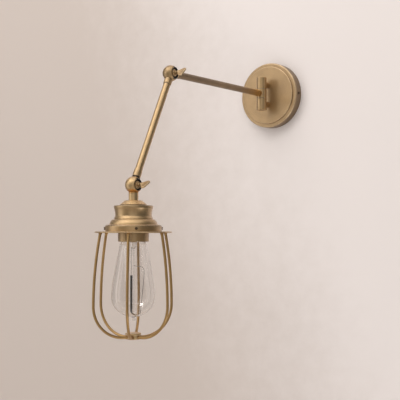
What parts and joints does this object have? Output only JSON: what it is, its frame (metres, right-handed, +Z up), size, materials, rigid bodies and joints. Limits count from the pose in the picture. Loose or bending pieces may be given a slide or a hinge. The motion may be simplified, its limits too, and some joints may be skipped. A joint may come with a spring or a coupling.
{
  "type": "swing-arm wall sconce",
  "caption": "Swing-arm wall sconce: round wall plate, two jointed brass tube arms with thumb-screw pivots, and a wire cage shade round a clear pear-shaped bulb.",
  "frame": {"origin": "centre of the wall plate, on the wall plane", "axes": "+Y into the wall, +Z up, +X to the right for a person who faces the wall"},
  "size_m": [0.1252, 0.4355, 0.4552],
  "materials": {
    "satin_brass": "aged satin brass, lacquered",
    "zinc_steel": "zinc plated",
    "dark_steel": "blackened steel",
    "green_screw": "green dyed zinc",
    "nylon": "natural nylon",
    "black_fibre": "matt black fibre",
    "porcelain": "glazed white",
    "nickel": "bright nickel",
    "black_glass": "black vitrite",
    "clear_glass": "clear blown glass",
    "filament": "dark carbon filament"
  },
  "bodies": {
    "wall_base": {"wall_strap": "zinc_steel", "wall_plate": "satin_brass", "plate_side_screws": "dark_steel", "ground_screw": "green_screw", "upper_hinge_knuckle": "satin_brass", "lower_hinge_knuckle": "satin_brass", "hinge_stub_nuts": "zinc_steel", "hinge_pin": "zinc_steel", "hinge_washers": "nylon", "hinge_end_caps": "satin_brass"},
    "upper_arm": {"swing_knuckle": "satin_brass", "arm_root_fitting": "satin_brass", "upper_arm_tube": "satin_brass", "upper_arm_ferrule": "satin_brass", "upper_arm_set_screw": "dark_steel", "elbow_inner_half": "satin_brass", "elbow_thumb_washer": "black_fibre"},
    "lower_arm": {"elbow_outer_half": "satin_brass", "elbow_friction_disc": "black_fibre", "lower_arm_top_ferrule": "satin_brass", "lower_arm_tube": "satin_brass", "lower_arm_end_ferrule": "satin_brass", "shade_pivot_arm_half": "satin_brass", "shade_thumb_washer": "black_fibre"},
    "elbow_screw": {"elbow_thumb_screw": "satin_brass"},
    "shade": {"shade_pivot_neck_half": "satin_brass", "shade_friction_disc": "black_fibre", "shade_neck": "satin_brass", "neck_nuts": "zinc_steel", "holder_dome": "satin_brass", "shade_holder": "satin_brass", "holder_screws": "dark_steel", "cage_ring": "satin_brass", "cage_wires": "satin_brass", "cage_hub": "satin_brass", "socket_shell": "satin_brass", "socket_body": "porcelain", "socket_screw_shell": "nickel", "socket_contact": "nickel", "bulb_cap": "nickel", "bulb_insulator": "black_glass", "bulb_contact": "nickel", "bulb_glass": "clear_glass", "bulb_stem": "clear_glass", "bulb_leads": "nickel", "bulb_filament": "filament"},
    "shade_screw": {"shade_thumb_screw": "satin_brass"}
  },
  "joints": [
    {"name": "arm_swing", "type": "hinge", "parent": "wall_base", "child": "upper_arm", "pos_m": [0, -0.0393, 0], "axis": [0, 0, 1], "range_deg": [-85, 85]},
    {"name": "elbow_bend", "type": "hinge", "parent": "upper_arm", "child": "lower_arm", "pos_m": [0, -0.2942, 0], "axis": [1, 0, 0], "range_deg": [-110, 40]},
    {"name": "shade_tilt", "type": "hinge", "parent": "lower_arm", "child": "shade", "pos_m": [0, -0.37911, -0.17487], "axis": [1, 0, 0], "range_deg": [-90, 60]},
    {"name": "elbow_screw_turn", "type": "hinge", "parent": "lower_arm", "child": "elbow_screw", "pos_m": [0, -0.2942, 0], "axis": [1, 0, 0], "range_deg": [0, 360]},
    {"name": "shade_screw_turn", "type": "hinge", "parent": "shade", "child": "shade_screw", "pos_m": [0, -0.37911, -0.17487], "axis": [1, 0, 0], "range_deg": [0, 360]}
  ]
}
